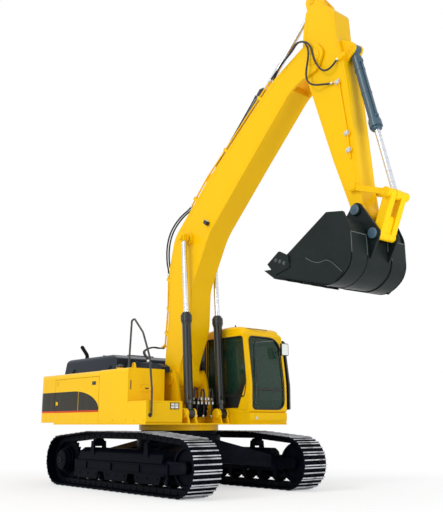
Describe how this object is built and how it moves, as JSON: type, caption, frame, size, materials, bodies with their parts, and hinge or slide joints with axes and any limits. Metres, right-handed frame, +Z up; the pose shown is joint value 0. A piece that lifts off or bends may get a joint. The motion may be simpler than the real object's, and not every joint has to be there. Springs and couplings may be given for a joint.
{
  "type": "crawler excavator",
  "caption": "Full-size crawler excavator: tracks, slewing upper body with cab and counterweight, bent boom, arm and bucket moved by linked cylinders.",
  "frame": {"origin": "on the ground under the slewing axis, midway between the tracks", "axes": "+X forward along the tracks and boom, +Y left towards the cab's side, +Z up"},
  "size_m": [9.017, 3.4218, 8.9695],
  "materials": {
    "yellow_paint": "gloss",
    "track_steel": "satin",
    "dark_steel": "satin",
    "hood_paint": "satin",
    "black_paint": "gloss",
    "chrome_rod": "polished",
    "bucket_steel": "satin",
    "cab_glass": "tinted",
    "hose_rubber": "satin",
    "seat_fabric": "matte"
  },
  "bodies": {
    "undercarriage": {"carbody": "dark_steel", "tow_eyes": "dark_steel", "slew_ring_lower": "dark_steel", "track_right": "track_steel", "track_frame_right": "track_steel", "track_wheels_right": "track_steel", "final_drive_right": "track_steel", "track_left": "track_steel", "track_frame_left": "track_steel", "track_wheels_left": "track_steel", "final_drive_left": "track_steel"},
    "upper": {"slew_ring_upper": "yellow_paint", "swing_frame": "yellow_paint", "counterweight": "yellow_paint", "engine_block": "dark_steel", "right_housing": "yellow_paint", "left_housing": "yellow_paint", "fuel_tank": "yellow_paint", "step_box": "yellow_paint", "deck_cover": "hood_paint", "handrail": "black_paint", "cab_shell": "yellow_paint", "cab_glass": "cab_glass", "operator_seat": "seat_fabric", "cab_mirror": "black_paint", "base_hoses": "hose_rubber"},
    "cab_door": {"cab_door": "black_paint", "cab_door_glass": "cab_glass"},
    "engine_hood": {"engine_hood": "hood_paint", "exhaust": "dark_steel"},
    "right_door": {"right_door": "yellow_paint"},
    "left_door": {"left_door": "yellow_paint"},
    "step_lid": {"step_lid": "yellow_paint"},
    "boom": {"boom": "yellow_paint", "boom_hoses": "hose_rubber", "arm_hoses": "hose_rubber"},
    "boom_barrels": {"boom_barrels": "black_paint"},
    "boom_rods": {"boom_rods": "chrome_rod"},
    "arm": {"arm": "yellow_paint"},
    "arm_barrel": {"arm_barrel": "black_paint"},
    "arm_rod": {"arm_rod": "chrome_rod"},
    "bucket": {"bucket": "bucket_steel"},
    "bucket_barrel": {"bucket_barrel": "hood_paint"},
    "bucket_rod": {"bucket_rod": "chrome_rod"},
    "idler_links": {"idler_links": "yellow_paint"},
    "power_link": {"power_link": "yellow_paint"}
  },
  "joints": [
    {"name": "slew", "type": "hinge", "parent": "undercarriage", "child": "upper", "pos_m": [0, 0, 1.1], "axis": [0, 0, 1], "continuous": true},
    {"name": "boom_lower", "type": "hinge", "parent": "upper", "child": "boom", "pos_m": [0.2, 0, 2.1], "axis": [0, 1, 0], "range_deg": [-4, 95], "deforming": ["base_hoses"]},
    {"name": "boom_barrel_swing", "type": "hinge", "parent": "upper", "child": "boom_barrels", "pos_m": [0.85, 0, 1.42], "axis": [0, 1, 0], "range_deg": [-4.02, 95.23]},
    {"name": "boom_rod_slide", "type": "slide", "parent": "boom_barrels", "child": "boom_rods", "axis": [-0.0652, 0, 0.9979], "range_m": [-1.39972, 0.05989]},
    {"name": "arm_out", "type": "hinge", "parent": "boom", "child": "arm", "pos_m": [4.13035, 0, 7.59999], "axis": [0, -1, 0], "range_deg": [-10, 84], "deforming": ["arm_hoses"]},
    {"name": "arm_barrel_swing", "type": "hinge", "parent": "boom", "child": "arm_barrel", "pos_m": [1.10283, 0, 6.12046], "axis": [0, -1, 0], "range_deg": [-3.14, 0.38]},
    {"name": "arm_rod_slide", "type": "slide", "parent": "arm_barrel", "child": "arm_rod", "axis": [0.734, 0, 0.6791], "range_m": [-1.64781, 0.19705]},
    {"name": "bucket_open", "type": "hinge", "parent": "arm", "child": "bucket", "pos_m": [4.95019, 0, 4.56995], "axis": [0, -1, 0], "range_deg": [-25, 100]},
    {"name": "idler_link_swing", "type": "hinge", "parent": "arm", "child": "idler_links", "pos_m": [4.88558, 0, 4.97721], "axis": [0, -1, 0], "range_deg": [-22.2, 88.75]},
    {"name": "power_link_swing", "type": "hinge", "parent": "bucket", "child": "power_link", "pos_m": [5.28021, 0, 4.11977], "axis": [0, -1, 0], "range_deg": [-62.66, 15.67]},
    {"name": "bucket_barrel_swing", "type": "hinge", "parent": "arm", "child": "bucket_barrel", "pos_m": [4.86061, 0, 7.51994], "axis": [0, -1, 0], "range_deg": [-5.08, 1.28]},
    {"name": "bucket_rod_slide", "type": "slide", "parent": "bucket_barrel", "child": "bucket_rod", "axis": [0.2392, 0, -0.971], "range_m": [-0.95387, 0.23922]},
    {"name": "cab_door_open", "type": "hinge", "parent": "upper", "child": "cab_door", "pos_m": [0.444, 1.528, 2], "axis": [0, 0, 1], "range_deg": [-14, 86]},
    {"name": "hood_open", "type": "hinge", "parent": "upper", "child": "engine_hood", "pos_m": [-3.1, 0, 2.2703], "axis": [0, -1, 0], "range_deg": [0, 55]},
    {"name": "right_door_open", "type": "hinge", "parent": "upper", "child": "right_door", "pos_m": [-2.453, -1.475, 1.8], "axis": [0, 0, -1], "range_deg": [0, 110]},
    {"name": "left_door_open", "type": "hinge", "parent": "upper", "child": "left_door", "pos_m": [-2.453, 1.525, 1.8], "axis": [0, 0, 1], "range_deg": [0, 110]},
    {"name": "step_lid_open", "type": "hinge", "parent": "upper", "child": "step_lid", "pos_m": [0.363, -1.1, 1.64], "axis": [0, -1, 0], "range_deg": [0, 85]}
  ],
  "couplings": [
    {"joint": "boom_barrel_swing", "follows": "boom_lower", "ratio": 0.98268},
    {"joint": "boom_rod_slide", "follows": "boom_lower", "m_per_rad": -0.83523},
    {"joint": "arm_barrel_swing", "follows": "arm_out", "ratio": -0.036558},
    {"joint": "arm_rod_slide", "follows": "arm_out", "m_per_rad": -1.1122},
    {"joint": "idler_link_swing", "follows": "bucket_open", "ratio": 0.87003},
    {"joint": "power_link_swing", "follows": "bucket_open", "ratio": -0.61422},
    {"joint": "bucket_barrel_swing", "follows": "bucket_open", "ratio": -0.049722},
    {"joint": "bucket_rod_slide", "follows": "bucket_open", "m_per_rad": -0.54055}
  ]
}
